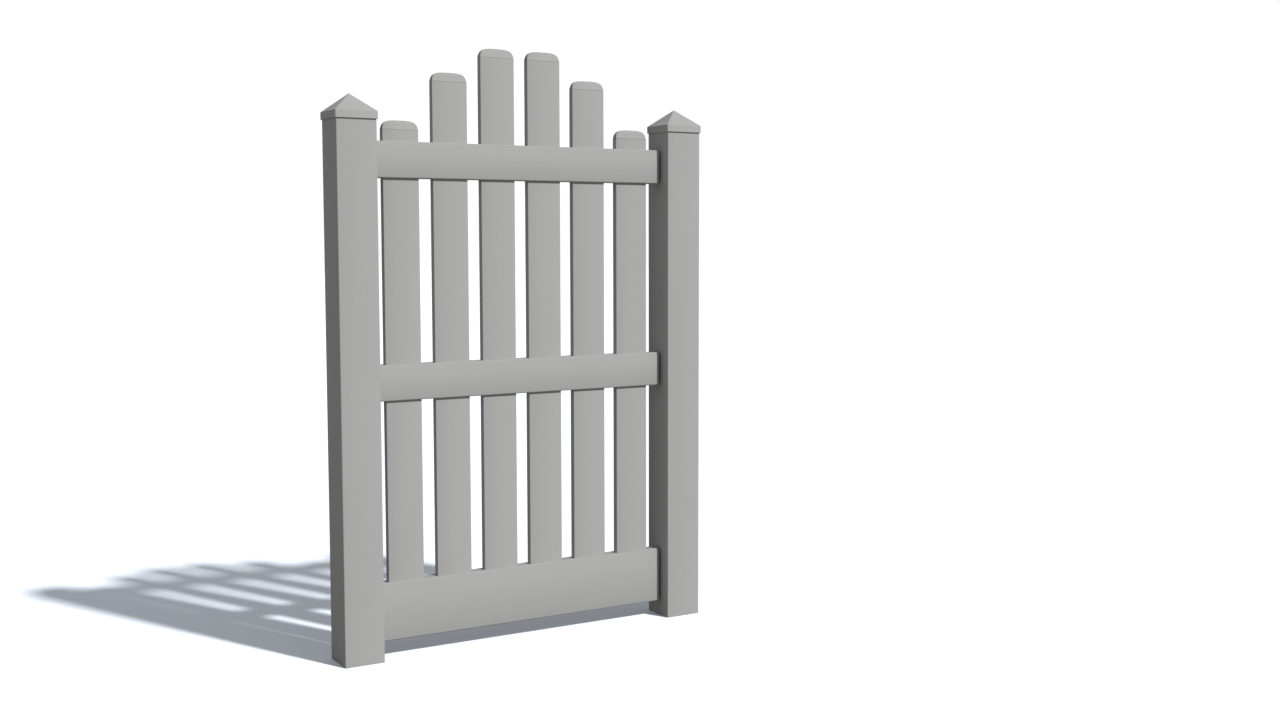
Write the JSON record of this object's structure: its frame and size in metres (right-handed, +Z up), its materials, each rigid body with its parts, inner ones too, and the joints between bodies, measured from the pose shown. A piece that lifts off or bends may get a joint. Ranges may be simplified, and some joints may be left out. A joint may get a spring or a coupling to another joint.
{
  "type": "garden gate",
  "caption": "Garden gate: an arched-top picket leaf hung on rear butt hinges between capped square posts, with a sliding barrel bolt behind the middle rail.",
  "frame": {"origin": "on the ground, midway between the posts, in the middle of their depth", "axes": "+Z up, +X along the leaf from the hinge post to the latch post, -Y towards the front; the leaf opens towards +Y"},
  "size_m": [1.013, 0.106, 1.492],
  "materials": {
    "grey_vinyl": "satin extruded PVC, mid grey",
    "aluminium_insert": "mill finish",
    "black_ironwork": "black powder coat, fine texture",
    "zinc_steel": "zinc plated, satin"
  },
  "bodies": {
    "posts": {"hinge_bottom_pin": "zinc_steel", "hinge_bottom_post_leaf": "black_ironwork", "hinge_bottom_post_screw_1": "black_ironwork", "hinge_bottom_post_screw_2": "black_ironwork", "hinge_bottom_post_screw_3": "black_ironwork", "hinge_top_pin": "zinc_steel", "hinge_top_post_leaf": "black_ironwork", "hinge_top_post_screw_1": "black_ironwork", "hinge_top_post_screw_2": "black_ironwork", "hinge_top_post_screw_3": "black_ironwork", "post_cap_left": "grey_vinyl", "post_cap_right": "grey_vinyl", "post_insert_left": "aluminium_insert", "post_insert_right": "aluminium_insert", "post_left": "grey_vinyl", "post_right": "grey_vinyl", "strike_plate": "black_ironwork", "strike_screw_1": "black_ironwork", "strike_screw_2": "black_ironwork"},
    "leaf": {"bolt_body": "black_ironwork", "bolt_screw_1": "black_ironwork", "bolt_screw_2": "black_ironwork", "bolt_screw_3": "black_ironwork", "bolt_screw_4": "black_ironwork", "hinge_bottom_gate_leaf": "black_ironwork", "hinge_bottom_gate_screw_1": "black_ironwork", "hinge_bottom_gate_screw_2": "black_ironwork", "hinge_bottom_gate_screw_3": "black_ironwork", "hinge_top_gate_leaf": "black_ironwork", "hinge_top_gate_screw_1": "black_ironwork", "hinge_top_gate_screw_2": "black_ironwork", "hinge_top_gate_screw_3": "black_ironwork", "picket_1": "grey_vinyl", "picket_2": "grey_vinyl", "picket_3": "grey_vinyl", "picket_4": "grey_vinyl", "picket_5": "grey_vinyl", "picket_6": "grey_vinyl", "picket_cap_1": "grey_vinyl", "picket_cap_2": "grey_vinyl", "picket_cap_3": "grey_vinyl", "picket_cap_4": "grey_vinyl", "picket_cap_5": "grey_vinyl", "picket_cap_6": "grey_vinyl", "rail_bottom": "grey_vinyl", "rail_middle": "grey_vinyl", "rail_plug_bottom_left": "grey_vinyl", "rail_plug_bottom_right": "grey_vinyl", "rail_plug_middle_left": "grey_vinyl", "rail_plug_middle_right": "grey_vinyl", "rail_plug_top_left": "grey_vinyl", "rail_plug_top_right": "grey_vinyl", "rail_stiffener": "aluminium_insert", "rail_top": "grey_vinyl"},
    "bolt": {"bolt_rod": "zinc_steel", "bolt_knob": "black_ironwork"}
  },
  "joints": [
    {"name": "leaf_swing", "type": "hinge", "parent": "posts", "child": "leaf", "pos_m": [-0.398, 0.023, 0], "axis": [0, 0, 1], "range_deg": [0, 90]},
    {"name": "bolt_slide", "type": "slide", "parent": "leaf", "child": "bolt", "axis": [1, 0, 0], "range_m": [0, 0.022]}
  ]
}
